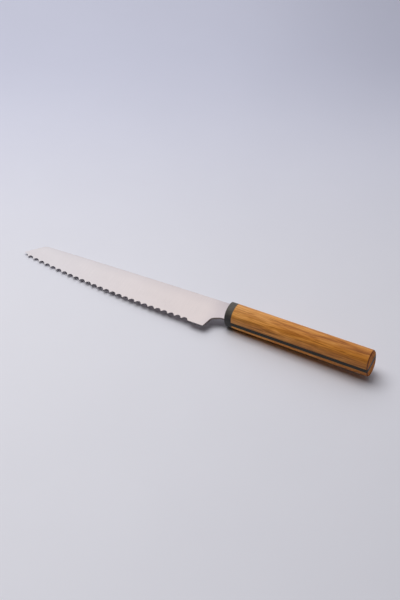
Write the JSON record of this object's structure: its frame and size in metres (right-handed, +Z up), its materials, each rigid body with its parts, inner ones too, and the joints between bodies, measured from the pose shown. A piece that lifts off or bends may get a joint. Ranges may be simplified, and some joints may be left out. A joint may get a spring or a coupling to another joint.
{
  "type": "bread knife",
  "caption": "Serrated bread knife with a clipped tip, a dark front collar and an oval wooden handle split by a dark core strip.",
  "frame": {"origin": "under the middle of the bounding box, on the surface that the knife lies on", "axes": "+X from the tip to the butt, +Y towards the blade's back, +Z up, with the blade's left face up. The knife lies 2.2 degrees tip down and 9 degrees edge down, so its own axes are turned by that much."},
  "size_m": [0.3272, 0.0308, 0.0277],
  "materials": {
    "steel": "satin, ground across the blade",
    "collar_polymer": "matte",
    "core_polymer": "matte",
    "wood": "oiled, satin",
    "pin_steel": "plain"
  },
  "bodies": {
    "root": {"blade": "steel", "front_collar": "collar_polymer", "core_spacer": "core_polymer", "left_scale": "wood", "right_scale": "wood", "front_tang_pin": "pin_steel", "rear_tang_pin": "pin_steel", "butt_dowel": "pin_steel"}
  },
  "joints": []
}
